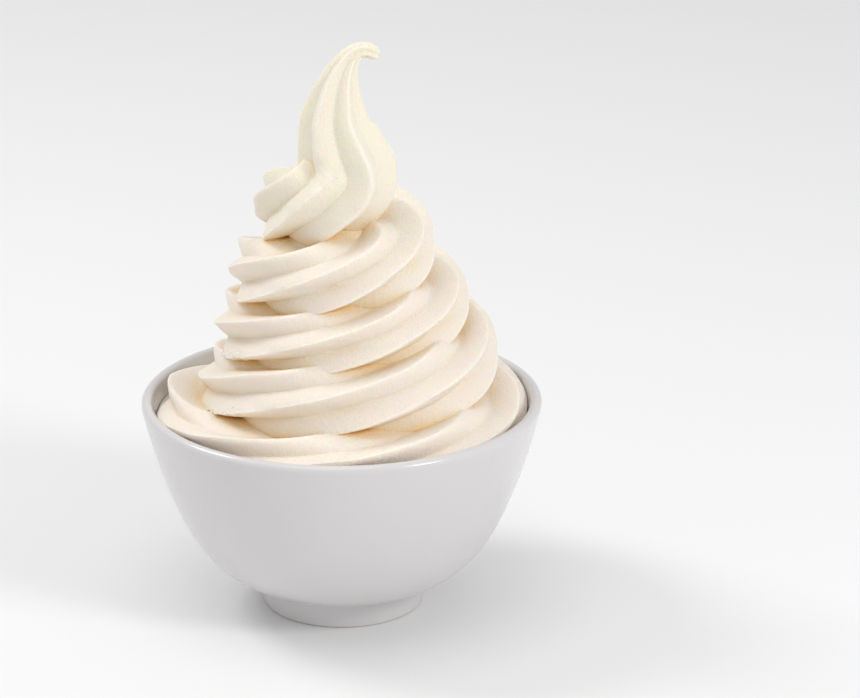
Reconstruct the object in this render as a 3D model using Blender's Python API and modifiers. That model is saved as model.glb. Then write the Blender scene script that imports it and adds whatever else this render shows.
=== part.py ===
"""A small footed bowl filled with a tall swirl of frozen yogurt.

The bowl is one turned shell. The yogurt is one rope from a six-point star nozzle: it fills the bowl, coils
up over it in turns that lie on each other and narrow towards the top, and is drawn out there into a tail
that hooks over. Metres, +Z up, origin at the middle of the foot's underside.
"""

import math

import bmesh
import bpy
from mathutils import Vector

MM = 0.001

# Bowl
BOWL_HEIGHT = 68.5 * MM
WALL = 3.6 * MM
SIDE_TOP_RADIUS = 63.0 * MM  # the side's curve at the bowl's height, just past the round lip
SIDE_LOW = 8.0 * MM  # the height at which that curve would turn level
SIDE_LOW_RADIUS = 6.7 * MM
SIDE_POWER = 4  # the height rises with this power of the way out
SIDE_FOOT = 0.37  # the way out at which the side meets the foot
SIDE_STEPS = 12
LIP_STEPS = 6
FLOOR_HEIGHT = 12.0 * MM  # the inside's lowest point
FOOT_TOP_RADIUS = 26.4 * MM
FOOT_RADIUS = 25.2 * MM
FOOT_EDGE = 1.0 * MM
FOOT_RING_INNER = 22.0 * MM
RECESS_RADIUS = 20.0 * MM
RECESS_HEIGHT = 5.0 * MM
BOWL_STEPS = 48

# Yogurt rope
GAP = 0.3 * MM  # between the yogurt and the bowl
RIDGES = 6
GROOVE_DEPTH = 0.29  # of the rope's radius
GROOVE_POWER = 1.25
RIDGE_ROUNDING = 0.05
BULGE = 0.3  # how far a squashed rope swells sideways, of its half-width
BULGE_SOFTNESS = 0.06
SAG_REACH = 0.6  # the part of a section that can sag lies inwards of this, of its half-width
SAG_SHARPNESS = 3  # how suddenly the sag starts, from the lower half to the upper
BEND_START = 0.5  # of the way to the middle of a bend, from where the rope's inside is crowded
BEND_LIMIT = 0.9  # the furthest that the rope's inside reaches
POINTS_AROUND = 24
SECTIONS_PER_TURN = 20
COIL_START = -0.75  # turns, counted from the left
COIL_END = 4.0

# Along the coil: turns, then radius of the coil, height, half-width, half-height (mm), how far the section's
# lower half is pushed outwards, and how far its inner upper part sags, both of its half-height
COIL = (
    (-0.75, 30.0, 44.0, 15.0, 12.0, 0.0, 0.0),
    (-0.5, 38.0, 50.0, 15.0, 12.0, 0.0, 0.0),
    (-0.25, 42.0, 56.0, 15.0, 11.5, 0.0, 0.3),
    (0.0, 42.5, 63.0, 15.0, 11.0, 0.0, 0.55),
    (0.12, 44.2, 62.4, 15.0, 11.5, 0.0, 0.4),
    (0.25, 44.2, 62.5, 15.0, 12.0, 0.0, 0.2),
    (0.5, 43.0, 63.0, 15.0, 12.0, 0.0, 0.0),
    (0.75, 38.0, 67.5, 15.0, 11.0, 0.1, 0.0),
    (0.9, 33.0, 72.0, 15.0, 9.8, 0.2, 0.0),
    (1.0, 30.0, 74.5, 15.0, 9.8, 0.25, 0.0),
    (1.12, 30.5, 77.8, 15.0, 11.4, 0.1, 0.0),
    (1.25, 31.5, 79.8, 15.0, 12.4, 0.0, 0.0),
    (1.5, 33.0, 83.2, 15.0, 13.2, 0.0, 0.0),
    (1.75, 31.0, 87.5, 15.0, 12.6, 0.0, 0.0),
    (2.0, 24.5, 92.0, 15.0, 11.2, 0.0, 0.0),
    (2.5, 24.0, 100.5, 15.0, 11.2, 0.0, 0.0),
    (3.0, 19.5, 109.5, 15.0, 11.4, 0.0, 0.0),
    (3.5, 14.5, 119.0, 14.5, 11.8, 0.0, 0.0),
    (4.0, 10.5, 130.0, 14.5, 13.0, 0.0, 0.0),
)
# Where the coil's middle stands along X: turns, then offset (mm)
DRIFT = ((-1.0, 0.0), (0.0, 0.0), (1.5, 0.5), (3.0, 0.0), (4.0, -1.0))
# The tail, from the last turn to the tip: X, Y, Z and radius (mm)
TAIL = (
    (-8.4, -4.6, 132.5, 14.6),
    (-4.4, -6.6, 134.8, 15.0),
    (0.2, -6.2, 137.9, 15.4),
    (2.4, -5.2, 142.5, 15.4),
    (0.6, -4.4, 149.3, 13.9),
    (-1.4, -3.6, 157.3, 11.2),
    (-1.2, -3.0, 164.3, 8.7),
    (0.0, -2.4, 170.6, 6.3),
    (2.2, -1.8, 176.2, 3.9),
    (5.2, -1.2, 179.4, 2.7),
    (8.3, -0.8, 180.0, 2.45),
    (10.2, -0.6, 179.2, 2.3),
)
TAIL_SETTLE_STEPS = 4  # tail sections over which the rope goes from squashed to round
TAIL_SETTLE = 0.15

# What fills the swirl's middle: radius and height (mm), from the top down. Its low part is wider than the
# bowl, and is cut to the bowl's inside.
CORE = (
    (0, 136),
    (3, 135),
    (12, 126),
    (20, 119),
    (31, 80),
    (34, 70),
    (42, 65),
    (50, 62.5),
    (70, 63),
    (70, 6),
    (0, 6),
)
CORE_STEPS = 24
# What fills the space between two turns, under the rope: of its half-width and half-height
UNDERLAY_WIDTH = 0.85
UNDERLAY_HEIGHT = 0.85
UNDERLAY_DROP = 0.6
UNDERLAY_POINTS = 10
CAVITY_TOP = 200.0 * MM


def clear_scene():
    for obj in list(bpy.data.objects):
        bpy.data.objects.remove(obj, do_unlink=True)


def new_collection(name, parent=None):
    collection = bpy.data.collections.new(name)
    (parent or bpy.context.scene.collection).children.link(collection)
    return collection


def principled(name, color, roughness):
    material = bpy.data.materials.new(name)
    material.use_nodes = True
    shader = material.node_tree.nodes["Principled BSDF"]
    shader.inputs["Base Color"].default_value = (*color, 1.0)
    shader.inputs["Roughness"].default_value = roughness
    shader.inputs["Metallic"].default_value = 0.0
    material.diffuse_color = (*color, 1.0)
    return material


def turned(name, profile, steps, collection):
    """An object turned about Z from (radius, height) points that run down the outer side."""
    mesh = bpy.data.meshes.new(name)
    edges = [(i, i + 1) for i in range(len(profile) - 1)]
    mesh.from_pydata([(radius, 0.0, height) for radius, height in profile], edges, [])
    obj = bpy.data.objects.new(name, mesh)
    collection.objects.link(obj)
    screw = obj.modifiers.new("Turn", "SCREW")
    screw.steps = screw.render_steps = steps
    screw.use_merge_vertices = True
    screw.merge_threshold = 0.00005
    screw.use_smooth_shade = True
    return obj


# --- Bowl ---


def side_point(way, inset=0.0):
    """A point (radius, height) of the bowl's side, moved inwards across the wall by inset."""
    spread = SIDE_TOP_RADIUS - SIDE_LOW_RADIUS
    rise = BOWL_HEIGHT - SIDE_LOW
    slope = Vector((spread, rise * SIDE_POWER * way ** (SIDE_POWER - 1))).normalized()
    radius = SIDE_LOW_RADIUS + spread * way - inset * slope.y
    height = SIDE_LOW + rise * way**SIDE_POWER + inset * slope.x
    return radius, height


def lip_way():
    """How far out the side ends, so that the round lip on it tops out at the bowl's height."""
    spread = SIDE_TOP_RADIUS - SIDE_LOW_RADIUS
    rise = BOWL_HEIGHT - SIDE_LOW
    tilt = Vector((spread, rise * SIDE_POWER)).normalized().x
    return ((rise - WALL / 2 * (1 + tilt)) / rise) ** (1 / SIDE_POWER)


def side_ways():
    end = lip_way()
    return [SIDE_FOOT + (end - SIDE_FOOT) * i / SIDE_STEPS for i in range(SIDE_STEPS + 1)]


def lip_points():
    """The half circle over the top of the wall, from its inner to its outer side."""
    inner = Vector(side_point(lip_way(), WALL))
    outer = Vector(side_point(lip_way()))
    middle = (inner + outer) / 2
    across = inner - middle
    along = Vector((across.y, -across.x))
    angles = [math.pi * i / LIP_STEPS for i in range(1, LIP_STEPS)]
    return [tuple(middle + across * math.cos(a) + along * math.sin(a)) for a in angles]


def inside_points(inset=WALL):
    """The bowl's inside from its middle up to the lip."""
    floor = FLOOR_HEIGHT + (inset - WALL)
    return [(0.0, floor)] + [side_point(way, inset) for way in side_ways()]


def rounded_corner(corner, before, after, steps=3):
    """Points that round a corner of the profile off to the points before and after it."""
    corner, before, after = Vector(corner), Vector(before), Vector(after)
    points = []
    for i in range(steps + 1):
        t = i / steps
        points.append(tuple(before * (1 - t) ** 2 + corner * 2 * t * (1 - t) + after * t**2))
    return points


def foot_points():
    outer_top = (FOOT_TOP_RADIUS, SIDE_LOW)
    outer_edge = rounded_corner((FOOT_RADIUS, 0.0), (FOOT_RADIUS, FOOT_EDGE), (FOOT_RADIUS - FOOT_EDGE, 0.0))
    inner_edge = rounded_corner(
        (FOOT_RING_INNER - FOOT_EDGE, 0.0), (FOOT_RING_INNER, 0.0), (FOOT_RING_INNER - FOOT_EDGE, FOOT_EDGE)
    )
    recess = [(RECESS_RADIUS, RECESS_HEIGHT - FOOT_EDGE), (RECESS_RADIUS - FOOT_EDGE, RECESS_HEIGHT)]
    return [outer_top] + outer_edge + inner_edge + recess + [(0.0, RECESS_HEIGHT)]


def make_bowl(collection):
    outside = [side_point(way) for way in reversed(side_ways())]
    profile = inside_points() + lip_points() + outside + foot_points()
    bowl = turned("bowl", profile, BOWL_STEPS, collection)
    bowl.data.materials.append(principled("White glaze", (0.80, 0.80, 0.79), 0.18))
    return bowl


# --- Yogurt ---


def smooth(table, at):
    """The values of a table of stations at a place along it, on a smooth curve through them."""
    last = len(table) - 1
    if at <= table[0][0]:
        return table[0][1:]
    if at >= table[last][0]:
        return table[last][1:]
    low = max(i for i in range(last) if table[i][0] <= at)
    span = table[low + 1][0] - table[low][0]
    t = (at - table[low][0]) / span
    weights = (2 * t**3 - 3 * t**2 + 1, t**3 - 2 * t**2 + t, 3 * t**2 - 2 * t**3, t**3 - t**2)

    def slope(i, column):
        before, after = table[max(i - 1, 0)], table[min(i + 1, last)]
        return (after[column] - before[column]) / (after[0] - before[0]) * span

    values = []
    for column in range(1, len(table[0])):
        parts = (
            table[low][column],
            slope(low, column),
            table[low + 1][column],
            slope(low + 1, column),
        )
        values.append(sum(weight * part for weight, part in zip(weights, parts)))
    return values


def coil_section(turns):
    """Centre, half-width, half-height, settle, push and sag of the rope at a place along the coil."""
    radius, height, half_width, half_height, push, sag = smooth(COIL, turns)
    angle = math.pi + 2 * math.pi * turns
    drift = smooth(DRIFT, turns)[0]
    centre = Vector((radius * math.cos(angle) + drift, radius * math.sin(angle), height))
    return centre, half_width, half_height, 1.0, push, sag


def tail_section(index):
    x, y, z, radius = TAIL[index]
    settle = max(0.0, 1.0 - (index + 1) / TAIL_SETTLE_STEPS)
    return Vector((x, y, z)), radius, radius * (1 - TAIL_SETTLE * settle), settle, 0.0, 0.0


def coil_sections():
    steps = round((COIL_END - COIL_START) * SECTIONS_PER_TURN)
    return [coil_section(COIL_START + i / SECTIONS_PER_TURN) for i in range(steps + 1)]


def star_radius(angle):
    """The nozzle's star: 1 at a ridge, less in the groove between two ridges."""
    step = 2 * math.pi / RIDGES
    offset = abs((angle + step / 2) % step - step / 2) / (step / 2)
    rounded = math.hypot(offset, RIDGE_ROUNDING) - RIDGE_ROUNDING
    rounded /= math.hypot(1, RIDGE_ROUNDING) - RIDGE_ROUNDING
    return 1 - GROOVE_DEPTH * (1 - (1 - rounded) ** GROOVE_POWER)


def crowded(offset, bend):
    """An offset from the rope's middle, held back so that no part passes the middle of a bend."""
    reach = offset.dot(bend)
    if reach <= BEND_START:
        return offset
    room = BEND_LIMIT - BEND_START
    held = BEND_START + room * (1 - math.exp((BEND_START - reach) / room))
    return offset + bend * (held - reach) / bend.length_squared


def rope_ring(section, direction, bend):
    """The points around one section of the rope.

    The ridges keep the nozzle's own directions, so they are the star turned the shortest way from
    straight up to the rope's direction. Then the ring is squashed between its neighbours.
    """
    centre, half_width, half_height, settle, push, sag = section
    turn = Vector((0, 0, 1)).rotation_difference(direction)
    outwards = direction.cross(Vector((0, 0, 1))).normalized()
    upwards = outwards.cross(direction)
    ring = []
    for i in range(POINTS_AROUND):
        angle = 2 * math.pi * i / POINTS_AROUND
        spoke = turn @ Vector((math.cos(angle), math.sin(angle), 0)) * star_radius(angle)
        across, rise = spoke.dot(outwards), spoke.dot(upwards)
        swell = BULGE * abs(rise) * across / math.sqrt(across**2 + BULGE_SOFTNESS)
        width = half_width * (across + settle * swell) - half_height * push * rise
        sagging = sag * max(0.0, SAG_REACH - across) * (1 + math.tanh(SAG_SHARPNESS * rise)) / 2
        offset = outwards * width + upwards * half_height * (rise - sagging)
        ring.append((centre + crowded(offset, bend)) * MM)
    return ring


def underlay_ring(section, direction, bend):
    """The points around one section of the filling between the rope and the turn below it."""
    centre, half_width, half_height = section[:3]
    outwards = direction.cross(Vector((0, 0, 1))).normalized()
    upwards = outwards.cross(direction)
    drop = upwards * half_height * UNDERLAY_DROP
    ring = []
    for i in range(UNDERLAY_POINTS):
        angle = 2 * math.pi * i / UNDERLAY_POINTS
        width = half_width * UNDERLAY_WIDTH * math.cos(angle)
        height = half_height * UNDERLAY_HEIGHT * math.sin(angle)
        offset = outwards * width + upwards * height - drop
        ring.append((centre + crowded(offset, bend)) * MM)
    return ring


def lofted(name, sections, ring_at, collection):
    """A closed tube through the rings of all sections. It still passes through itself where turns lie
    together."""
    last = len(sections) - 1
    around = [(max(i - 1, 0), min(i + 1, last)) for i in range(last + 1)]
    middles = [section[0] for section in sections]
    directions = [(middles[after] - middles[before]).normalized() for before, after in around]
    shape = bmesh.new()
    rings = []
    for section, direction, (before, after) in zip(sections, directions, around):
        bend = (directions[after] - directions[before]) / (middles[after] - middles[before]).length
        bend -= direction * bend.dot(direction)
        ring = ring_at(section, direction, bend)
        rings.append([shape.verts.new(point) for point in ring])
    count = len(rings[0])
    for lower, upper in zip(rings, rings[1:]):
        for i in range(count):
            j = (i + 1) % count
            shape.faces.new((lower[i], lower[j], upper[j], upper[i]))
    for ring in (rings[0], rings[-1]):
        middle = shape.verts.new(sum((vert.co for vert in ring), Vector()) / count)
        for i in range(count):
            shape.faces.new((middle, ring[i], ring[(i + 1) % count]))
    bmesh.ops.recalc_face_normals(shape, faces=shape.faces)
    mesh = bpy.data.meshes.new(name)
    shape.to_mesh(mesh)
    shape.free()
    mesh.shade_smooth()
    obj = bpy.data.objects.new(name, mesh)
    collection.objects.link(obj)
    return obj


def as_cutter(obj):
    obj.hide_render = True
    obj.display_type = "WIRE"
    return obj


def boolean(obj, operation, collection, use_self=False):
    """Joins or cuts obj with all that the collection holds."""
    modifier = obj.modifiers.new(operation.title(), "BOOLEAN")
    modifier.operation = operation
    modifier.solver = "EXACT"
    modifier.use_self = use_self
    modifier.operand_type = "COLLECTION"
    modifier.collection = collection


def make_core(collection):
    profile = [(radius * MM, height * MM) for radius, height in CORE]
    return as_cutter(turned("swirl_core", profile, CORE_STEPS, collection))


def make_cavity(collection):
    """The room that the yogurt has: the bowl's inside, less a gap, and straight up from its lip."""
    inside = list(reversed(inside_points(WALL + GAP)))
    above = [(0.0, CAVITY_TOP), (inside[0][0], CAVITY_TOP)]
    return as_cutter(turned("bowl_cavity", above + inside, BOWL_STEPS, collection))


def make_yogurt(collection, cutters):
    coil = coil_sections()
    tail = [tail_section(i) for i in range(len(TAIL))]
    rope = lofted("frozen_yogurt", coil + tail, rope_ring, collection)
    rope.data.materials.append(principled("Frozen yogurt", (0.83, 0.74, 0.61), 0.5))
    filling = new_collection("filling", cutters)
    make_core(filling)
    as_cutter(lofted("swirl_underlay", coil, underlay_ring, filling))
    room = new_collection("room", cutters)
    make_cavity(room)
    boolean(rope, "UNION", filling, use_self=True)
    boolean(rope, "INTERSECT", room)
    return rope


def main():
    clear_scene()
    parts = new_collection("frozen_yogurt_bowl")
    cutters = new_collection("cutters")
    make_bowl(parts)
    make_yogurt(parts, cutters)


main()
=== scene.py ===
"""The looks of a small footed bowl filled with a tall swirl of frozen yogurt.

The yogurt is one rope piped through a six-point star nozzle. A middle line carries the rope's width, height
and bends, a Geometry Nodes tree pipes the rope along it, and the turns are then joined into one body that
fills the bowl. The bowl is a turned shell under a clear glaze.
"""

import math

import bmesh
import bpy
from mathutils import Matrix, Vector
from mathutils.bvhtree import BVHTree


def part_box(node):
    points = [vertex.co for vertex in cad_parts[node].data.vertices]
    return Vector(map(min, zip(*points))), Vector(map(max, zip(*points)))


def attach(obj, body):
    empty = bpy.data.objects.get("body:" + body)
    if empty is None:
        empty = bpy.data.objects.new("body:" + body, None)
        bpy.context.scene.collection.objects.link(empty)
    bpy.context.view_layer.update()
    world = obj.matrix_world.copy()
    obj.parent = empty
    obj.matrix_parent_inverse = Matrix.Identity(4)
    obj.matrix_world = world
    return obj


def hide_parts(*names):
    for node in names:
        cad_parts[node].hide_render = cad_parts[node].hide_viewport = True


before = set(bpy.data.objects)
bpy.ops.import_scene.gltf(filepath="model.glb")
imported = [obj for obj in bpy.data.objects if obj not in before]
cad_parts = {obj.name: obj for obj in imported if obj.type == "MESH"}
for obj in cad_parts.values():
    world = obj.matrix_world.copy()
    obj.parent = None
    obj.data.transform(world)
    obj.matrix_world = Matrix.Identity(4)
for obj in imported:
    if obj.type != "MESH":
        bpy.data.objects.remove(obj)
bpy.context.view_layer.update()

MM = 0.001

# ---------------------------------------------------------------- sizes

bowl_high = Vector(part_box("bowl")[1])
BOWL_HEIGHT = bowl_high.z
WALL = 3.6 * MM
SIDE_TOP_RADIUS = bowl_high.x + 0.5 * MM
SIDE_LOW = 8.0 * MM
SIDE_LOW_RADIUS = 6.7 * MM
SIDE_POWER = 4
SIDE_FOOT = 0.37
FLOOR_HEIGHT = 12.0 * MM
FOOT_TOP_RADIUS = 26.4 * MM
FOOT_RADIUS = 25.2 * MM
FOOT_EDGE = 1.0 * MM
FOOT_RING_INNER = 22.0 * MM
RECESS_RADIUS = 20.0 * MM
RECESS_HEIGHT = 5.0 * MM
GAP = 0.3 * MM
TURNED_STEPS = 192
CORE_STEPS = 48
SIDE_STEPS = 40
LIP_STEPS = 16
CORNER_STEPS = 6

# The coil: turns, then radius of the coil, height, half-width, half-height (mm), how far the section's lower
# half is pushed outwards, and how far its inner upper part sags, both of its half-height. Turns are counted
# from the left.
COIL = (
    (-0.75, 30.0, 44.0, 15.0, 12.0, 0.0, 0.0),
    (-0.5, 38.0, 50.0, 15.0, 12.0, 0.0, 0.0),
    (-0.25, 42.0, 56.0, 15.0, 11.5, 0.0, 0.3),
    (0.0, 42.5, 63.0, 15.0, 11.0, 0.0, 0.55),
    (0.12, 44.2, 62.4, 15.0, 11.5, 0.0, 0.4),
    (0.25, 44.2, 62.5, 15.0, 12.0, 0.0, 0.2),
    (0.5, 43.0, 63.0, 15.0, 12.0, 0.0, 0.0),
    (0.75, 38.0, 67.5, 15.0, 11.0, 0.1, 0.0),
    (0.9, 33.0, 72.0, 15.0, 9.8, 0.2, 0.0),
    (1.0, 30.0, 74.5, 15.0, 9.8, 0.25, 0.0),
    (1.12, 30.5, 77.8, 15.0, 11.4, 0.1, 0.0),
    (1.25, 31.5, 79.8, 15.0, 12.4, 0.0, 0.0),
    (1.5, 33.0, 83.2, 15.0, 13.2, 0.0, 0.0),
    (1.75, 31.0, 87.5, 15.0, 12.6, 0.0, 0.0),
    (2.0, 24.5, 92.0, 15.0, 11.2, 0.0, 0.0),
    (2.5, 24.0, 100.5, 15.0, 11.2, 0.0, 0.0),
    (3.0, 19.5, 109.5, 15.0, 11.4, 0.0, 0.0),
    (3.5, 14.5, 119.0, 14.5, 11.8, 0.0, 0.0),
    (4.0, 10.5, 130.0, 14.5, 13.0, 0.0, 0.0),
)
DRIFT = ((-1.0, 0.0), (0.0, 0.0), (1.5, 0.5), (3.0, 0.0), (4.0, -1.0))
# Where along the coil the lower outer ridge is torn
TORN = (
    (0.9, 0.0),
    (0.98, 1.0),
    (1.07, 1.0),
    (1.15, 0.0),
    (1.9, 0.0),
    (1.97, 1.0),
    (2.07, 0.8),
    (2.15, 0.0),
    (2.92, 0.0),
    (3.0, 0.8),
    (3.06, 0.0),
)
# The tail, from the last turn to the tip: X, Y, Z and radius (mm)
TAIL = (
    (-8.4, -4.6, 132.5, 14.6),
    (-4.4, -6.6, 134.8, 15.0),
    (0.2, -6.2, 137.9, 15.4),
    (2.4, -5.2, 142.5, 15.4),
    (0.6, -4.4, 149.3, 13.9),
    (-1.4, -3.6, 157.3, 11.2),
    (-1.2, -3.0, 164.3, 8.7),
    (0.0, -2.4, 170.6, 6.3),
    (2.2, -1.8, 176.2, 3.9),
    (5.2, -1.2, 179.4, 2.7),
    (8.3, -0.8, 180.0, 2.45),
    (10.2, -0.6, 179.2, 2.3),
)
TAIL_SETTLE_STEPS = 4
TAIL_SETTLE = 0.15
COIL_START, COIL_END = -0.75, 4.0
CONTROLS_PER_TURN = 24
SECTIONS_PER_CONTROL = 8
TIP_SECTIONS = 6
POINTS_AROUND = 96

# What fills the swirl's middle: radius and height (mm), from the top down
CORE = (
    (0, 136),
    (3, 135),
    (12, 126),
    (20, 119),
    (31, 80),
    (34, 70),
    (42, 65),
    (50, 62.5),
    (70, 63),
    (70, 6),
    (0, 6),
)
CAVITY_TOP = 200.0 * MM
# Where the rope folds most tightly, as it turns up into the tail
PINCH = Vector((-5.7, -17.0, 145.0)) * MM
PINCH_RADIUS = 6.0 * MM
PINCH_ROUNDS = 25
SHARP_ANGLE = math.radians(50)
# How far a crease is felt, and the rays that feel for it
CREASE_REACH = 12.0 * MM
CREASE_RAYS = 96
CREASE_LIFT = 0.15 * MM
GRAZING = 0.05

CAMERA_DISTANCE = 1.2
CAMERA_ELEVATION = math.radians(19.85)
CAMERA_TARGET = Vector((0.02755, 0.0, 0.0836))
VIEW_WIDTH = 0.2674
SENSOR = 36.0
LIGHT_AIM = Vector((0.0, 0.0, 0.09))
# Name, place, size (m) and power (W)
LIGHTS = (
    ("Key light", (0.85, -0.7, 0.75), 0.35, 5.2),
    ("Top light", (-0.1, -0.25, 1.3), 0.8, 2.0),
    ("Rim light", (-0.7, 0.25, 0.95), 0.4, 3.6),
)
SKY_STRENGTH = 0.66
FLOOR_HALF = 3.0


# ---------------------------------------------------------------- node trees


class Tree:
    """A node tree that is written as nested calls: each call adds a node and gives its output."""

    def __init__(self, tree):
        self.tree = tree

    def node(self, kind, inputs=(), output=0, **settings):
        node = self.tree.nodes.new(kind)
        for name, value in settings.items():
            setattr(node, name, value)
        pairs = inputs.items() if isinstance(inputs, dict) else enumerate(inputs)
        for key, value in pairs:
            if value is None:
                continue
            if isinstance(value, bpy.types.NodeSocket):
                self.tree.links.new(value, node.inputs[key])
            else:
                node.inputs[key].default_value = value
        return node.outputs[output]

    def math(self, operation, *values):
        return self.node("ShaderNodeMath", values, operation=operation)

    def vector(self, operation, *values):
        output = "Value" if operation in ("DOT_PRODUCT", "LENGTH") else "Vector"
        return self.node("ShaderNodeVectorMath", values, output, operation=operation)

    def mixed(self, factor, first, second):
        """A colour between two others, each a socket or a plain (red, green, blue)."""
        colors = [(*color, 1) if isinstance(color, tuple) else color for color in (first, second)]
        inputs = {"Factor": factor, 6: colors[0], 7: colors[1]}
        return self.node("ShaderNodeMix", inputs, 2, data_type="RGBA")

    def scaled(self, vector, factor):
        return self.node("ShaderNodeVectorMath", {0: vector, "Scale": factor}, operation="SCALE")

    def ramp(self, value, low, high):
        """A smooth step from 0 at low to 1 at high."""
        inputs = {0: value, 1: low, 2: high}
        return self.node("ShaderNodeMapRange", inputs, interpolation_type="SMOOTHSTEP")


class ShapeTree(Tree):
    """A Geometry Nodes tree with named inputs."""

    KINDS = {int: "NodeSocketInt", float: "NodeSocketFloat", bpy.types.Material: "NodeSocketMaterial"}

    def __init__(self, name, inputs):
        super().__init__(bpy.data.node_groups.new(name, "GeometryNodeTree"))
        sockets = self.tree.interface
        sockets.new_socket("Geometry", in_out="INPUT", socket_type="NodeSocketGeometry")
        self.values = inputs
        for label, value in inputs.items():
            sockets.new_socket(label, in_out="INPUT", socket_type=self.KINDS[type(value)])
        sockets.new_socket("Geometry", in_out="OUTPUT", socket_type="NodeSocketGeometry")
        self.given = self.tree.nodes.new("NodeGroupInput").outputs

    def attribute(self, name, kind="FLOAT"):
        return self.node("GeometryNodeInputNamedAttribute", {"Name": name}, data_type=kind)

    def end(self, geometry, material):
        solid = self.node("GeometryNodeRealizeInstances", [geometry])
        finished = self.node("GeometryNodeSetMaterial", {"Geometry": solid, "Material": material})
        out = self.tree.nodes.new("NodeGroupOutput")
        self.tree.links.new(finished, out.inputs[0])

    def made_from(self, guide, name):
        """A plain mesh object of what the tree makes from the guide, which is removed."""
        modifier = guide.modifiers.new(self.tree.name, "NODES")
        modifier.node_group = self.tree
        for item in self.tree.interface.items_tree:
            if item.in_out == "INPUT" and item.name in self.values:
                modifier[item.identifier] = self.values[item.name]
        graph = bpy.context.evaluated_depsgraph_get()
        mesh = bpy.data.meshes.new_from_object(guide.evaluated_get(graph))
        mesh.name = name
        bpy.data.objects.remove(guide)
        return new_object(name, mesh)


def new_object(name, mesh):
    obj = bpy.data.objects.new(name, mesh)
    bpy.context.scene.collection.objects.link(obj)
    return obj


# ---------------------------------------------------------------- materials


def new_material(name):
    material = bpy.data.materials.new(name)
    material.use_nodes = True
    tree = material.node_tree
    return material, Tree(tree), tree.nodes["Principled BSDF"]


def frozen_yogurt_finish():
    material, tree, shader = new_material("Frozen yogurt")
    place = tree.node("ShaderNodeTexCoord", output="Object")
    crease_shade = tree.node("ShaderNodeAttribute", output="Fac", attribute_name="crease_shade")
    ridge = tree.node("ShaderNodeAttribute", output="Fac", attribute_name="ridge")
    patches = tree.node("ShaderNodeTexNoise", {"Vector": place, "Scale": 45.0, "Detail": 2.0})
    height = tree.node("ShaderNodeSeparateXYZ", [place], "Z")
    cream = tree.mixed(patches, (0.89, 0.80, 0.725), (0.87, 0.80, 0.69))
    cream = tree.mixed(tree.ramp(height, 0.11, 0.15), cream, (0.88, 0.825, 0.69))
    # Painted highlight: the cream is lighter along the ridges.
    cream = tree.mixed(ridge, cream, (0.92, 0.87, 0.80))
    # Painted shade: where the surface is shut in, deep in the creases between the turns, the cream turns tan
    # and then orange. This stands in for shade and for the warm glow of light scattered inside.
    color = tree.mixed(tree.ramp(crease_shade, 0.05, 0.4), cream, (0.87, 0.745, 0.57))
    color = tree.mixed(tree.ramp(crease_shade, 0.36, 0.64), color, (0.93, 0.73, 0.46))
    color = tree.mixed(tree.ramp(crease_shade, 0.6, 0.85), color, (0.95, 0.60, 0.23))
    tree.tree.links.new(color, shader.inputs["Base Color"])
    shader.inputs["Roughness"].default_value = 0.55
    shader.inputs["Subsurface Weight"].default_value = 0.6
    shader.inputs["Subsurface Radius"].default_value = (1.0, 0.55, 0.25)
    shader.inputs["Subsurface Scale"].default_value = 0.0018
    stretched = tree.vector("MULTIPLY", place, (1.0, 1.0, 0.45))
    streaks = tree.node("ShaderNodeTexNoise", {"Vector": stretched, "Scale": 1000.0, "Detail": 3.0})
    stipple = tree.node("ShaderNodeTexNoise", {"Vector": place, "Scale": 2600.0, "Detail": 1.0})
    grain = tree.math("MULTIPLY_ADD", stipple, 0.6, streaks)
    bump = tree.node("ShaderNodeBump", {"Strength": 0.8, "Distance": 0.0004, "Height": grain})
    tree.tree.links.new(bump, shader.inputs["Normal"])
    return material


def fleck_finish():
    """The thin torn flecks, which are too small to scatter light inside."""
    material, _, shader = new_material("Torn frozen yogurt")
    shader.inputs["Base Color"].default_value = (0.93, 0.87, 0.79, 1)
    shader.inputs["Roughness"].default_value = 0.6
    return material


def glaze_finish():
    material, tree, shader = new_material("White glaze")
    place = tree.node("ShaderNodeTexCoord", output="Object")
    waves = tree.node("ShaderNodeTexNoise", {"Vector": place, "Scale": 60.0, "Detail": 2.0})
    bump = tree.node("ShaderNodeBump", {"Strength": 0.05, "Distance": 0.001, "Height": waves})
    tree.tree.links.new(bump, shader.inputs["Normal"])
    height = tree.node("ShaderNodeSeparateXYZ", [place], "Z")
    glazed = tree.ramp(height, 0.0001, 0.0004)
    color = tree.mixed(glazed, (0.62, 0.56, 0.48), (0.66, 0.645, 0.645))
    tree.tree.links.new(color, shader.inputs["Base Color"])
    tree.tree.links.new(tree.math("MULTIPLY", glazed, 0.5), shader.inputs["Coat Weight"])
    shader.inputs["Roughness"].default_value = 0.25
    shader.inputs["Coat Roughness"].default_value = 0.08
    return material


def floor_finish():
    material, _, shader = new_material("Pale floor")
    shader.inputs["Base Color"].default_value = (0.86, 0.86, 0.86, 1)
    shader.inputs["Roughness"].default_value = 0.8
    return material


# ---------------------------------------------------------------- the rope's middle line


def smooth(table, at):
    """The values of a table of stations at a place along it, on a smooth curve through them."""
    last = len(table) - 1
    if at <= table[0][0]:
        return table[0][1:]
    if at >= table[last][0]:
        return table[last][1:]
    low = max(i for i in range(last) if table[i][0] <= at)
    span = table[low + 1][0] - table[low][0]
    t = (at - table[low][0]) / span
    weights = (2 * t**3 - 3 * t**2 + 1, t**3 - 2 * t**2 + t, 3 * t**2 - 2 * t**3, t**3 - t**2)

    def slope(i, column):
        before, after = table[max(i - 1, 0)], table[min(i + 1, last)]
        return (after[column] - before[column]) / (after[0] - before[0]) * span

    values = []
    for column in range(1, len(table[0])):
        parts = (
            table[low][column],
            slope(low, column),
            table[low + 1][column],
            slope(low + 1, column),
        )
        values.append(sum(weight * part for weight, part in zip(weights, parts)))
    return values


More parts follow.
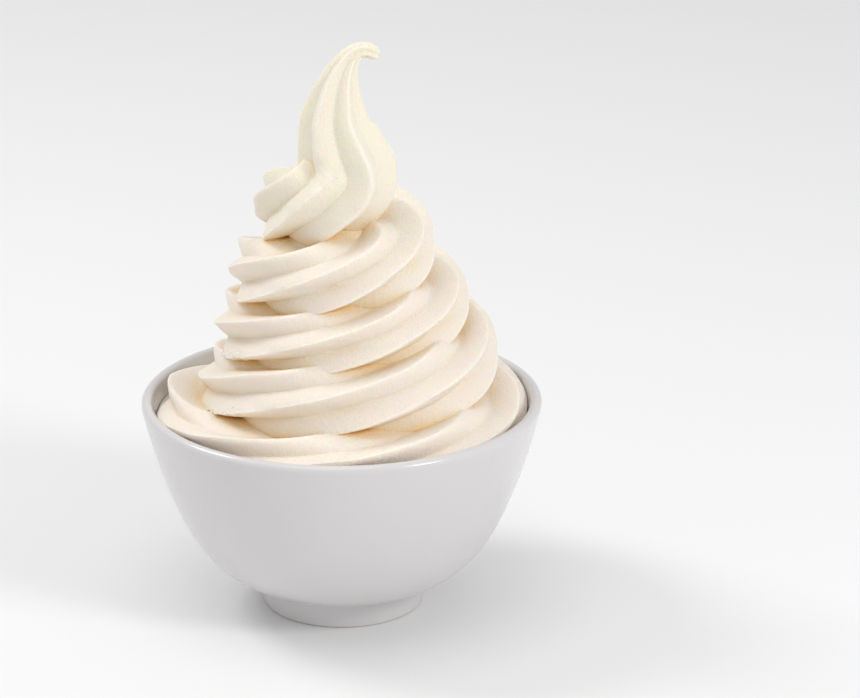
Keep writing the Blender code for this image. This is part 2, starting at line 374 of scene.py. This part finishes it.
def coil_section(turns):
    """Middle, half-width, half-height, settle, push, sag and tear of the rope at a place along the coil."""
    radius, height, half_width, half_height, push, sag = smooth(COIL, turns)
    angle = math.pi + 2 * math.pi * turns
    drift = smooth(DRIFT, turns)[0]
    middle = Vector((radius * math.cos(angle) + drift, radius * math.sin(angle), height))
    return middle, half_width, half_height, 1.0, push, sag, max(smooth(TORN, turns)[0], 0.0)


def tail_section(index):
    x, y, z, radius = TAIL[index]
    settle = max(0.0, 1.0 - (index + 1) / TAIL_SETTLE_STEPS)
    return Vector((x, y, z)), radius, radius * (1 - TAIL_SETTLE * settle), settle, 0.0, 0.0, 0.0


def blended(values, weights):
    total = values[0] * weights[0]
    for value, weight in zip(values[1:], weights[1:]):
        total = total + value * weight
    return total


def refined(controls, steps):
    """A smooth curve through the controls, with some steps from each control to the next."""
    padded = [controls[0]] + controls + [controls[-1]]
    sections = []
    for i in range(1, len(padded) - 2):
        for t in (k / steps for k in range(steps)):
            weights = (
                (2 * t**2 - t**3 - t) / 2,
                (3 * t**3 - 5 * t**2 + 2) / 2,
                (4 * t**2 - 3 * t**3 + t) / 2,
                (t**3 - t**2) / 2,
            )
            sections.append([blended(column, weights) for column in zip(*padded[i - 1 : i + 3])])
    sections.append(list(controls[-1]))
    return sections


def closed_ends(sections):
    """The sections with a flat start and a round tip."""
    first, last = sections[0], sections[-1]
    direction = (last[0] - sections[-2][0]).normalized()
    start = [first[0], 0.0, 0.0, *first[3:]]
    tip = []
    for i in range(1, TIP_SECTIONS + 1):
        angle = math.pi / 2 * i / TIP_SECTIONS
        radius = last[1] * math.cos(angle) if i < TIP_SECTIONS else 0.0
        tip.append([last[0] + direction * last[1] * math.sin(angle), radius, radius, *last[3:]])
    return [start] + sections + tip


def rope_sections():
    steps = round((COIL_END - COIL_START) * CONTROLS_PER_TURN)
    controls = [coil_section(COIL_START + i / CONTROLS_PER_TURN) for i in range(steps + 1)]
    controls += [tail_section(i) for i in range(len(TAIL))]
    return closed_ends(refined(controls, SECTIONS_PER_CONTROL))


def directions_and_bends(middles):
    """The line's direction at each point, and the vector that points to the middle of its bend."""
    last = len(middles) - 1
    around = [(max(i - 1, 0), min(i + 1, last)) for i in range(last + 1)]
    directions = [(middles[after] - middles[before]).normalized() for before, after in around]
    bends = []
    for direction, (before, after) in zip(directions, around):
        length = max((middles[after] - middles[before]).length, 1e-6)
        bend = (directions[after] - directions[before]) / length
        bends.append(bend - direction * bend.dot(direction))
    return directions, bends


def middle_line(sections):
    """A line of points that carry the rope's sizes, for the tree that pipes it. In metres."""
    middles = [section[0] * MM for section in sections]
    directions, bends = directions_and_bends(middles)
    mesh = bpy.data.meshes.new("rope_middle")
    mesh.from_pydata(middles, [(i, i + 1) for i in range(len(middles) - 1)], [])
    columns = list(zip(*sections))
    numbers = {
        "half_width": [value * MM for value in columns[1]],
        "half_height": [value * MM for value in columns[2]],
        "settle": columns[3],
        "push": columns[4],
        "sag": columns[5],
        "torn": columns[6],
    }
    for name, values in numbers.items():
        mesh.attributes.new(name, "FLOAT", "POINT").data.foreach_set("value", values)
    for name, vectors in (("direction", directions), ("bend", bends)):
        flat = [number for vector in vectors for number in vector]
        mesh.attributes.new(name, "FLOAT_VECTOR", "POINT").data.foreach_set("vector", flat)
    return new_object("rope_middle", mesh)


# ---------------------------------------------------------------- the piped rope


def piped_rope_tree(material):
    """Pipes a star-shaped rope along a middle line.

    The ridges keep the nozzle's own directions: the star is turned the shortest way from straight up to
    the rope's direction. The section is then squashed between its neighbours, and held back on the
    inside of a bend.
    """
    tree = ShapeTree(
        "Piped rope",
        {
            "Points around": POINTS_AROUND,
            "Ridges": 6,
            "Groove depth": 0.29,
            "Groove power": 1.25,
            "Ridge rounding": 0.08,
            "Swell": 0.3,
            "Swell softness": 0.06,
            "Sag reach": 0.6,
            "Sag sharpness": 3.0,
            "Wobble": 0.5 * MM,
            "Wobble scale": 55.0,
            "Raggedness": 0.12 * MM,
            "Raggedness scale": 500.0,
            "Torn ridge": 4,
            "Tear": 3.0 * MM,
            "Tear scale": 450.0,
            "Bend start": 0.5,
            "Bend limit": 0.9,
            "Material": material,
        },
    )
    given, scalar, vector = tree.given, tree.math, tree.vector
    line = given["Geometry"]
    count = tree.node("GeometryNodeAttributeDomainSize", [line], component="MESH")
    columns = scalar("ADD", given["Points around"], 1)
    sheet = tree.node("GeometryNodeMeshGrid", {"Vertices X": count, "Vertices Y": columns})
    index = tree.node("GeometryNodeInputIndex")
    section = scalar("FLOOR", scalar("DIVIDE", scalar("ADD", index, 0.5), columns))
    spoke = scalar("SUBTRACT", index, scalar("MULTIPLY", section, columns))
    angle = scalar("DIVIDE", scalar("MULTIPLY", spoke, 2 * math.pi), given["Points around"])

    def carried(name, kind="FLOAT"):
        value = tree.attribute(name, kind)
        inputs = {"Geometry": line, "Value": value, "Index": section}
        return tree.node("GeometryNodeSampleIndex", inputs, data_type=kind)

    middle = tree.node(
        "GeometryNodeSampleIndex",
        {"Geometry": line, "Value": tree.node("GeometryNodeInputPosition"), "Index": section},
        data_type="FLOAT_VECTOR",
    )
    direction = carried("direction", "FLOAT_VECTOR")
    bend = carried("bend", "FLOAT_VECTOR")

    # The star: 0 on a ridge and 1 in the middle of a groove, with the ridge's edge rounded
    step = scalar("DIVIDE", 2 * math.pi, given["Ridges"])
    half_step = scalar("MULTIPLY", step, 0.5)
    turned = scalar("FLOORED_MODULO", scalar("ADD", angle, half_step), step)
    offset = scalar("DIVIDE", scalar("ABSOLUTE", scalar("SUBTRACT", turned, half_step)), half_step)
    rounding = given["Ridge rounding"]
    squared = scalar("MULTIPLY", rounding, rounding)
    rounded = scalar("SUBTRACT", scalar("SQRT", scalar("MULTIPLY_ADD", offset, offset, squared)), rounding)
    full = scalar("SUBTRACT", scalar("SQRT", scalar("ADD", squared, 1)), rounding)
    slope = scalar("POWER", scalar("SUBTRACT", 1, scalar("DIVIDE", rounded, full)), given["Groove power"])
    groove = scalar("SUBTRACT", 1, slope)
    star = scalar("SUBTRACT", 1, scalar("MULTIPLY", given["Groove depth"], groove))

    # The star turned to the rope's direction, and seen from it
    flat = tree.node("ShaderNodeCombineXYZ", [scalar("COSINE", angle), scalar("SINE", angle), 0])
    turn = tree.node("FunctionNodeAlignRotationToVector", {"Vector": direction}, axis="Z", pivot_axis="AUTO")
    spoke_out = tree.node("FunctionNodeRotateVector", [tree.scaled(flat, star), turn])
    outwards = vector("NORMALIZE", vector("CROSS_PRODUCT", direction, (0, 0, 1)))
    upwards = vector("CROSS_PRODUCT", outwards, direction)
    across = vector("DOT_PRODUCT", spoke_out, outwards)
    rise = vector("DOT_PRODUCT", spoke_out, upwards)

    # Squashed, swollen sideways and pushed outwards below
    soft = scalar("SQRT", scalar("MULTIPLY_ADD", across, across, given["Swell softness"]))
    swell = scalar("MULTIPLY", given["Swell"], scalar("DIVIDE", across, soft))
    swell = scalar("MULTIPLY", swell, scalar("ABSOLUTE", rise))
    swollen = scalar("MULTIPLY_ADD", carried("settle"), swell, across)
    half_height = carried("half_height")
    pushed = scalar("MULTIPLY", carried("push"), scalar("MULTIPLY", half_height, rise))
    width = scalar("SUBTRACT", scalar("MULTIPLY", carried("half_width"), swollen), pushed)
    inner = scalar("MAXIMUM", scalar("SUBTRACT", given["Sag reach"], across), 0)
    upper = scalar("TANH", scalar("MULTIPLY", given["Sag sharpness"], rise))
    upper = scalar("MULTIPLY_ADD", upper, 0.5, 0.5)
    sagged = scalar("MULTIPLY", carried("sag"), scalar("MULTIPLY", inner, upper))
    lift = scalar("MULTIPLY", half_height, scalar("SUBTRACT", rise, sagged))
    out = vector("ADD", tree.scaled(outwards, width), tree.scaled(upwards, lift))

    # Held back so that no part passes the middle of a bend
    reach = vector("DOT_PRODUCT", out, bend)
    room = scalar("SUBTRACT", given["Bend limit"], given["Bend start"])
    over = scalar("DIVIDE", scalar("MAXIMUM", scalar("SUBTRACT", reach, given["Bend start"]), 0), room)
    held = scalar("MULTIPLY", room, scalar("SUBTRACT", 1, scalar("EXPONENT", scalar("MULTIPLY", over, -1))))
    excess = scalar("SUBTRACT", scalar("MULTIPLY", over, room), held)
    bend_squared = scalar("MAXIMUM", vector("DOT_PRODUCT", bend, bend), 1e-6)
    back = tree.scaled(bend, scalar("DIVIDE", excess, bend_squared))
    place = vector("ADD", middle, vector("SUBTRACT", out, back))

    # Uneven, as a rope that is piped by hand is: slow waves all over, and small nicks along the ridges
    ridge = scalar("SUBTRACT", 1, scalar("MINIMUM", scalar("MULTIPLY", offset, 8), 1))
    waves = tree.node("ShaderNodeTexNoise", {"Vector": place, "Scale": given["Wobble scale"], "Detail": 1.0})
    waves = scalar("MULTIPLY", scalar("SUBTRACT", waves, 0.5), given["Wobble"])
    nicks = tree.node("ShaderNodeTexNoise", {"Vector": place, "Scale": given["Raggedness scale"]})
    nicks = scalar("MULTIPLY", scalar("SUBTRACT", nicks, 0.5), scalar("MULTIPLY", given["Raggedness"], ridge))
    number = scalar("FLOOR", scalar("DIVIDE", scalar("ADD", angle, half_step), step))
    torn = scalar("MULTIPLY", carried("torn"), scalar("COMPARE", number, given["Torn ridge"], 0.5))
    torn = scalar("MULTIPLY", torn, scalar("MAXIMUM", scalar("MULTIPLY_ADD", offset, -2, 1), 0))
    tears = {"Vector": place, "Scale": given["Tear scale"], "Detail": 2.0, "Roughness": 0.7}
    tears = scalar("SUBTRACT", tree.node("ShaderNodeTexNoise", tears), 0.5)
    tears = scalar("MULTIPLY", scalar("MULTIPLY", tears, given["Tear"]), torn)
    away = vector("NORMALIZE", vector("SUBTRACT", place, middle))
    roughness = scalar("ADD", scalar("ADD", waves, nicks), tears)
    uneven = tree.scaled(away, scalar("MULTIPLY", roughness, 2))
    place = vector("ADD", place, uneven)
    rope = tree.node("GeometryNodeSetPosition", {"Geometry": sheet, "Position": place})
    # The ridge mask is stored for the finish, which paints a highlight along the ridges with it.
    rope = tree.node("GeometryNodeStoreNamedAttribute", {"Geometry": rope, "Name": "ridge", "Value": ridge})
    rope = tree.node("GeometryNodeStoreNamedAttribute", {"Geometry": rope, "Name": "torn", "Value": torn})
    rope = tree.node("GeometryNodeMergeByDistance", {"Geometry": rope, "Distance": 0.005 * MM})
    rope = tree.node("GeometryNodeFlipFaces", [rope])
    rope = tree.node("GeometryNodeSetShadeSmooth", [rope])
    tree.end(rope, given["Material"])
    return tree


def flecks_tree(material):
    """Scatters small torn flecks where the ridges are torn."""
    tree = ShapeTree(
        "Torn flecks",
        {
            "Flecks per square metre": 200000.0,
            "Fleck radius": 0.7 * MM,
            "Crumple": 0.7 * MM,
            "Crumple scale": 1500.0,
            "Material": material,
        },
    )
    given = tree.given
    density = tree.math("MULTIPLY", tree.attribute("torn"), given["Flecks per square metre"])
    scatter = {"Mesh": given["Geometry"], "Density": density}
    points = tree.node("GeometryNodeDistributePointsOnFaces", scatter)
    turn = points.node.outputs["Rotation"]
    ball = tree.node("GeometryNodeMeshIcoSphere", {"Radius": given["Fleck radius"], "Subdivisions": 2})
    sizes = [(0.6, 0.3, 0.25), (1.8, 0.7, 0.55)]
    size = tree.node("FunctionNodeRandomValue", sizes, data_type="FLOAT_VECTOR")
    placed = {"Points": points, "Instance": ball, "Rotation": turn, "Scale": size}
    flecks = tree.node("GeometryNodeInstanceOnPoints", placed)
    flecks = tree.node("GeometryNodeRealizeInstances", [flecks])
    noise = tree.node("ShaderNodeTexNoise", {"Scale": given["Crumple scale"]}, "Color")
    crumple = tree.scaled(tree.vector("SUBTRACT", noise, (0.5, 0.5, 0.5)), given["Crumple"])
    flecks = tree.node("GeometryNodeSetPosition", {"Geometry": flecks, "Offset": crumple})
    flecks = tree.node("GeometryNodeSetShadeSmooth", [flecks])
    tree.end(flecks, given["Material"])
    return tree


# ---------------------------------------------------------------- turned shapes


def side_point(way, inset=0.0):
    """A point (radius, height) of the bowl's side, moved inwards across the wall by inset."""
    spread = SIDE_TOP_RADIUS - SIDE_LOW_RADIUS
    rise = BOWL_HEIGHT - SIDE_LOW
    slope = Vector((spread, rise * SIDE_POWER * way ** (SIDE_POWER - 1))).normalized()
    radius = SIDE_LOW_RADIUS + spread * way - inset * slope.y
    height = SIDE_LOW + rise * way**SIDE_POWER + inset * slope.x
    return radius, height


def lip_way():
    """How far out the side ends, so that the round lip on it tops out at the bowl's height."""
    spread = SIDE_TOP_RADIUS - SIDE_LOW_RADIUS
    rise = BOWL_HEIGHT - SIDE_LOW
    tilt = Vector((spread, rise * SIDE_POWER)).normalized().x
    return ((rise - WALL / 2 * (1 + tilt)) / rise) ** (1 / SIDE_POWER)


def side_ways(steps):
    end = lip_way()
    return [SIDE_FOOT + (end - SIDE_FOOT) * i / steps for i in range(steps + 1)]


def lip_points(steps):
    """The half circle over the top of the wall, from its inner to its outer side."""
    inner = Vector(side_point(lip_way(), WALL))
    outer = Vector(side_point(lip_way()))
    middle = (inner + outer) / 2
    across = inner - middle
    along = Vector((across.y, -across.x))
    angles = [math.pi * i / steps for i in range(1, steps)]
    return [tuple(middle + across * math.cos(a) + along * math.sin(a)) for a in angles]


def inside_points(inset=WALL):
    """The bowl's inside from its middle up to the lip."""
    floor = FLOOR_HEIGHT + (inset - WALL)
    return [(0.0, floor)] + [side_point(way, inset) for way in side_ways(SIDE_STEPS)]


def rounded_corner(corner, before, after):
    corner, before, after = Vector(corner), Vector(before), Vector(after)
    points = []
    for i in range(CORNER_STEPS + 1):
        t = i / CORNER_STEPS
        points.append(tuple(before * (1 - t) ** 2 + corner * 2 * t * (1 - t) + after * t**2))
    return points


def foot_points():
    neck = side_point(SIDE_FOOT)
    foot_side = (FOOT_TOP_RADIUS - 0.2 * MM, SIDE_LOW - 1.5 * MM)
    fillet = rounded_corner((FOOT_TOP_RADIUS, SIDE_LOW), neck, foot_side)
    outer = rounded_corner((FOOT_RADIUS, 0.0), (FOOT_RADIUS, FOOT_EDGE), (FOOT_RADIUS - FOOT_EDGE, 0.0))
    inner_low = FOOT_RING_INNER - FOOT_EDGE
    inner = rounded_corner((inner_low, 0.0), (FOOT_RING_INNER, 0.0), (inner_low, FOOT_EDGE))
    recess = rounded_corner(
        (RECESS_RADIUS, RECESS_HEIGHT),
        (RECESS_RADIUS, RECESS_HEIGHT - FOOT_EDGE),
        (RECESS_RADIUS - FOOT_EDGE, RECESS_HEIGHT),
    )
    return fillet[1:] + outer + inner + recess + [(0.0, RECESS_HEIGHT)]


def turned(name, profile, steps):
    """A closed object turned about Z from (radius, height) points."""
    mesh = bpy.data.meshes.new(name)
    edges = [(i, i + 1) for i in range(len(profile) - 1)]
    mesh.from_pydata([(radius, 0.0, height) for radius, height in profile], edges, [])
    guide = new_object(name + "_profile", mesh)
    screw = guide.modifiers.new("Turn", "SCREW")
    screw.steps = screw.render_steps = steps
    screw.use_merge_vertices = True
    screw.merge_threshold = 0.01 * MM
    screw.use_smooth_shade = True
    graph = bpy.context.evaluated_depsgraph_get()
    turned_mesh = bpy.data.meshes.new_from_object(guide.evaluated_get(graph))
    turned_mesh.name = name
    bpy.data.objects.remove(guide)
    return new_object(name, turned_mesh)


# ---------------------------------------------------------------- joining the yogurt


def joined(obj, others, room):
    """obj with its own overlaps and all others united, and cut to the room. The helpers are removed."""
    filling = bpy.data.collections.new("filling")
    for other in others:
        filling.objects.link(other)
    union = obj.modifiers.new("Union", "BOOLEAN")
    union.operation = "UNION"
    union.solver = "EXACT"
    union.use_self = True
    union.operand_type = "COLLECTION"
    union.collection = filling
    cut = obj.modifiers.new("Cut", "BOOLEAN")
    cut.operation = "INTERSECT"
    cut.solver = "EXACT"
    cut.object = room
    graph = bpy.context.evaluated_depsgraph_get()
    mesh = bpy.data.meshes.new_from_object(obj.evaluated_get(graph))
    name = obj.name
    for used in (obj, room, *others):
        bpy.data.objects.remove(used)
    bpy.data.collections.remove(filling)
    mesh.name = name
    return new_object(name, mesh)


def without_sealed_pockets(obj):
    """Keeps only the largest body of the mesh."""
    shape = bmesh.new()
    shape.from_mesh(obj.data)
    bmesh.ops.remove_doubles(shape, verts=shape.verts, dist=0.001 * MM)
    left = set(shape.verts)
    bodies = []
    while left:
        start = left.pop()
        body, edge = [start], [start]
        while edge:
            vert = edge.pop()
            for link in vert.link_edges:
                other = link.other_vert(vert)
                if other in left:
                    left.remove(other)
                    body.append(other)
                    edge.append(other)
        bodies.append(body)
    bodies.sort(key=len)
    for body in bodies[:-1]:
        bmesh.ops.delete(shape, geom=body, context="VERTS")
    shape.to_mesh(obj.data)
    shape.free()


def smooth_spot(obj, place, radius, rounds):
    """Softens the surface around a place."""
    shape = bmesh.new()
    shape.from_mesh(obj.data)
    near = [vert for vert in shape.verts if (vert.co - place).length < radius]
    for _ in range(rounds):
        moved = []
        for vert in near:
            around = [edge.other_vert(vert).co for edge in vert.link_edges]
            middle = sum(around, Vector()) / len(around)
            weight = 1 - (vert.co - place).length / radius
            moved.append(vert.co.lerp(middle, max(weight, 0.0)))
        for vert, co in zip(near, moved):
            vert.co = co
    shape.to_mesh(obj.data)
    shape.free()


def store_creases(obj):
    """Stores how shut in each point is, from 0 in the open to 1 deep in a crease, as the mask for the
    finish's painted crease shade.
    """
    mesh = obj.data
    points = [vert.co.copy() for vert in mesh.vertices]
    normals = [vert.normal.copy() for vert in mesh.vertices]
    tree = BVHTree.FromPolygons(points, [poly.vertices[:] for poly in mesh.polygons])
    golden = math.pi * (3 - math.sqrt(5))
    rays = []
    for i in range(CREASE_RAYS):
        z = 1 - (2 * i + 1) / CREASE_RAYS
        radius = math.sqrt(1 - z * z)
        rays.append(Vector((radius * math.cos(golden * i), radius * math.sin(golden * i), z)))
    values = []
    for point, normal in zip(points, normals):
        origin = point + normal * CREASE_LIFT
        shut = total = 0.0
        for ray in rays:
            weight = ray.dot(normal)
            if weight <= GRAZING:
                continue
            total += weight
            distance = tree.ray_cast(origin, ray, CREASE_REACH)[3]
            if distance is not None:
                shut += weight * (1 - distance / CREASE_REACH)
        values.append(shut / total)
    mesh.attributes.new("crease_shade", "FLOAT", "POINT").data.foreach_set("value", values)


def make_yogurt():
    material = frozen_yogurt_finish()
    rope = piped_rope_tree(material).made_from(middle_line(rope_sections()), "yogurt_swirl")
    core = turned("swirl_core", [(radius * MM, height * MM) for radius, height in CORE], CORE_STEPS)
    core.data.materials.append(material)
    inside = list(reversed(inside_points(WALL + GAP)))
    room = turned("bowl_room", [(0.0, CAVITY_TOP), (inside[0][0], CAVITY_TOP)] + inside, TURNED_STEPS)
    room.data.materials.append(material)
    yogurt = joined(rope, [core], room)
    without_sealed_pockets(yogurt)
    smooth_spot(yogurt, PINCH, PINCH_RADIUS, PINCH_ROUNDS)
    store_creases(yogurt)
    yogurt.data.set_sharp_from_angle(angle=SHARP_ANGLE)
    copy = new_object("flecks_guide", yogurt.data.copy())
    flecks = flecks_tree(fleck_finish()).made_from(copy, "yogurt_flecks")
    return yogurt, flecks


def make_bowl():
    outside = [side_point(way) for way in reversed(side_ways(SIDE_STEPS))]
    profile = inside_points() + lip_points(LIP_STEPS) + outside + foot_points()
    bowl = turned("glazed_bowl", profile, TURNED_STEPS)
    bowl.data.materials.append(glaze_finish())
    return bowl


# ---------------------------------------------------------------- studio


def add_camera():
    camera = bpy.data.cameras.new("Camera")
    camera.sensor_width = SENSOR
    camera.lens = SENSOR * CAMERA_DISTANCE / VIEW_WIDTH
    back = Vector((0, -math.cos(CAMERA_ELEVATION), math.sin(CAMERA_ELEVATION)))
    obj = bpy.data.objects.new("Camera", camera)
    obj.location = CAMERA_TARGET + back * CAMERA_DISTANCE
    obj.rotation_mode = "QUATERNION"
    obj.rotation_quaternion = (-back).to_track_quat("-Z", "Y")
    bpy.context.scene.collection.objects.link(obj)
    bpy.context.scene.camera = obj


def add_soft_light(name, place, size, power):
    light = bpy.data.lights.new(name, "AREA")
    light.shape = "DISK"
    light.size = size
    light.energy = power
    obj = bpy.data.objects.new(name, light)
    obj.location = place
    obj.rotation_mode = "QUATERNION"
    obj.rotation_quaternion = (LIGHT_AIM - Vector(place)).to_track_quat("-Z", "Y")
    bpy.context.scene.collection.objects.link(obj)


def add_studio():
    for light in LIGHTS:
        add_soft_light(*light)
    world = bpy.data.worlds.new("Studio")
    world.use_nodes = True
    background = world.node_tree.nodes["Background"]
    background.inputs["Color"].default_value = (1, 1, 1, 1)
    background.inputs["Strength"].default_value = SKY_STRENGTH
    bpy.context.scene.world = world
    bpy.context.scene.view_settings.view_transform = "Standard"
    mesh = bpy.data.meshes.new("floor")
    corners = [(x * FLOOR_HALF, y * FLOOR_HALF, 0) for x, y in ((-1, -1), (1, -1), (1, 1), (-1, 1))]
    mesh.from_pydata(corners, [], [(0, 1, 2, 3)])
    floor = new_object("floor", mesh)
    floor.data.materials.append(floor_finish())


# ---------------------------------------------------------------- assembly

add_camera()
add_studio()
yogurt, flecks = make_yogurt()
bowl = make_bowl()
for piece, node, slot in ((yogurt, "frozen_yogurt", "yogurt"), (bowl, "bowl", "glaze")):
    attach(piece, "root")
    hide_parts(node)
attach(flecks, "root")
